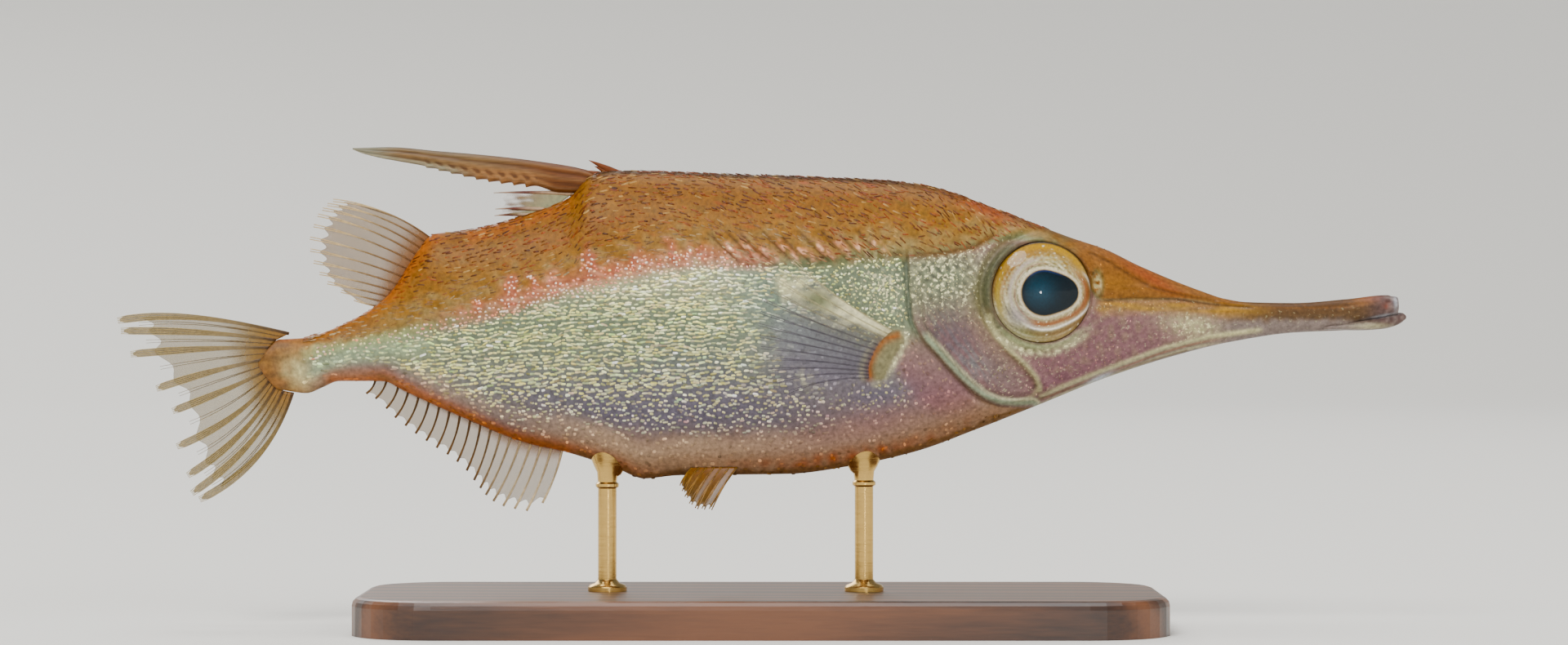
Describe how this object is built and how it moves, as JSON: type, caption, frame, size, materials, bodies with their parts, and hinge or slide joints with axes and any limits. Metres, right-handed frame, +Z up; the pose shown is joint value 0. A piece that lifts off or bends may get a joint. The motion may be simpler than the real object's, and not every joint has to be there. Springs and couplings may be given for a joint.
{
  "type": "longspine snipefish",
  "caption": "Still, life-size longspine snipefish with a tube snout, large eyes, a long barbed back spine and rayed fins, on a flat base with two rods.",
  "frame": {"origin": "on the floor, in the middle of the whole length and width", "axes": "+X towards the snout, +Y towards the fish's left side, +Z up"},
  "size_m": [0.138, 0.036, 0.0516],
  "materials": {
    "skin": "moist, finely scaled, silvery",
    "eye": "clear, wet",
    "spine": "bony, half clear",
    "fin": "clear membrane with tan rays",
    "stand_wood": "satin, dark stained",
    "stand_rod": "polished"
  },
  "bodies": {
    "root": {"snout": "skin", "lower_jaw": "skin", "head": "skin", "gill_cover_left": "skin", "gill_cover_right": "skin", "eye_left": "eye", "eye_right": "eye", "trunk": "skin", "tail": "skin", "dorsal_spine_long": "spine", "dorsal_spine_small": "spine", "dorsal_fin_spiny": "fin", "dorsal_fin_soft": "fin", "caudal_fin": "fin", "anal_fin": "fin", "pectoral_fin_left": "fin", "pectoral_fin_right": "fin", "pelvic_fin_left": "fin", "pelvic_fin_right": "fin", "stand_base": "stand_wood", "stand_rod_front": "stand_rod", "stand_rod_rear": "stand_rod"}
  },
  "joints": []
}
